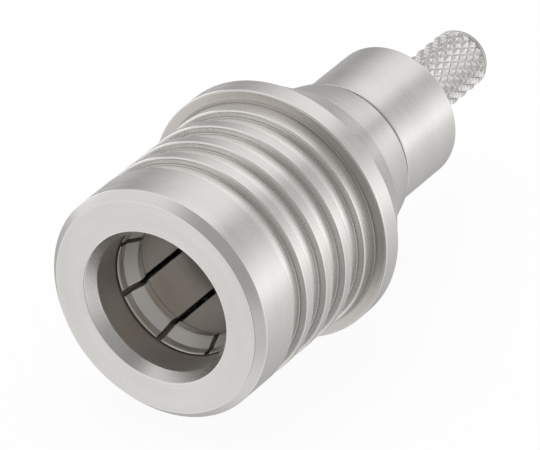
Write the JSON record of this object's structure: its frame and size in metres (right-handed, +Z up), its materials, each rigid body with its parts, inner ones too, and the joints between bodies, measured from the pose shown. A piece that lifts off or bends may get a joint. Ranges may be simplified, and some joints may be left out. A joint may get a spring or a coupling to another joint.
{
  "type": "qma connector",
  "caption": "Straight push-on coaxial plug with a ribbed sliding sleeve, a slotted spring collet, a recessed centre pin and a knurled crimp spigot for thin cable.",
  "frame": {"origin": "on the plug's axis, in the middle of the collet's gripping lip", "axes": "+Y along the plug's axis from the mating face towards the cable end, +Z up"},
  "size_m": [0.0108, 0.0232, 0.0108],
  "materials": {
    "plated_shell": "satin white-bronze plating",
    "plated_collet": "satin white-bronze plating on spring alloy",
    "gold_contact": "bright gold plating",
    "white_dielectric": "waxy white",
    "spring_steel": "bright drawn wire"
  },
  "bodies": {
    "plug_body": {"main_body": "plated_shell", "spring_collet": "plated_collet", "crimp_body": "plated_shell", "contact_tube": "plated_collet", "front_insulator": "white_dielectric", "rear_insulator": "white_dielectric", "centre_pin": "gold_contact", "spring_seat": "spring_steel", "retaining_ring": "spring_steel", "return_spring": "spring_steel"},
    "slider": {"thrust_washer": "spring_steel"},
    "sleeve": {"coupling_sleeve": "plated_shell"}
  },
  "joints": [
    {"name": "sleeve_pull", "type": "slide", "parent": "plug_body", "child": "slider", "axis": [0, 1, 0], "range_m": [0, 0.0018], "stiffness_N_per_m": 280, "springref_m": -0.0037, "deforming": ["return_spring"]},
    {"name": "sleeve_spin", "type": "hinge", "parent": "slider", "child": "sleeve", "pos_m": [0, 0, 0], "axis": [0, 1, 0], "continuous": true}
  ]
}
